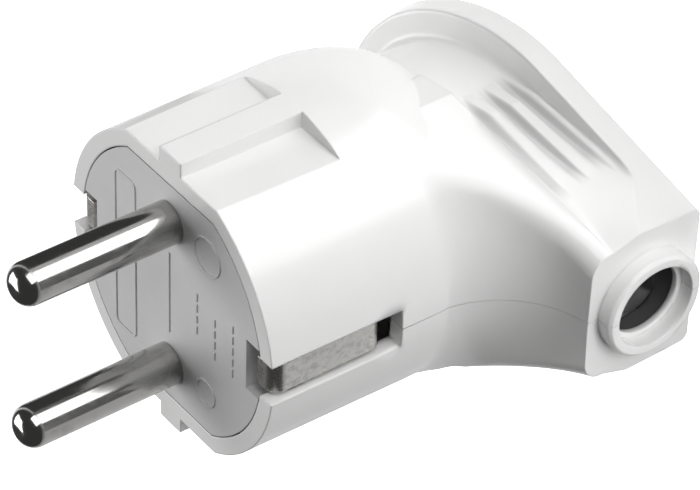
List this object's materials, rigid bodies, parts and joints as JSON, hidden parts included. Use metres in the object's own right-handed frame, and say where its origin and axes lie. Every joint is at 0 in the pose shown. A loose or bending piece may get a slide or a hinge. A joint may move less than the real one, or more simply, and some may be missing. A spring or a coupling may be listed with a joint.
{
  "type": "angled plug",
  "caption": "Angled rewirable mains plug with two round pins, side earth contacts, a ribbed finger grip and a cable entry at a right angle to the pins.",
  "frame": {"origin": "centre of the back flange's round end, on the sloping back face that the plug rests on", "axes": "+Z is the normal of the back face, up, and the pins lean 10 degrees back from it; +X runs towards the cable entry; +Y is the side of the upper housing"},
  "size_m": [0.0555, 0.0382, 0.0597],
  "materials": {
    "housing": "white moulded plastic with a soft gloss",
    "carrier": "light grey moulded plastic, matt",
    "pins": "nickel plated, turned and lightly drawn along its length",
    "strap": "nickel plated spring steel",
    "screws": "zinc plated",
    "clamp": "white moulded plastic",
    "inserts": "plain brass"
  },
  "bodies": {
    "root": {"upper_housing": "housing", "lower_housing": "housing", "contact_carrier": "carrier", "upper_pin": "pins", "lower_pin": "pins", "upper_terminal_screw": "screws", "lower_terminal_screw": "screws", "earth_strap": "strap", "earth_washer": "screws", "earth_screw": "screws", "cord_clamp": "clamp", "rear_clamp_screw": "screws", "front_clamp_screw": "screws", "rear_housing_screw": "screws", "neck_housing_screw": "screws", "rear_insert": "inserts", "neck_insert": "inserts"}
  },
  "joints": []
}
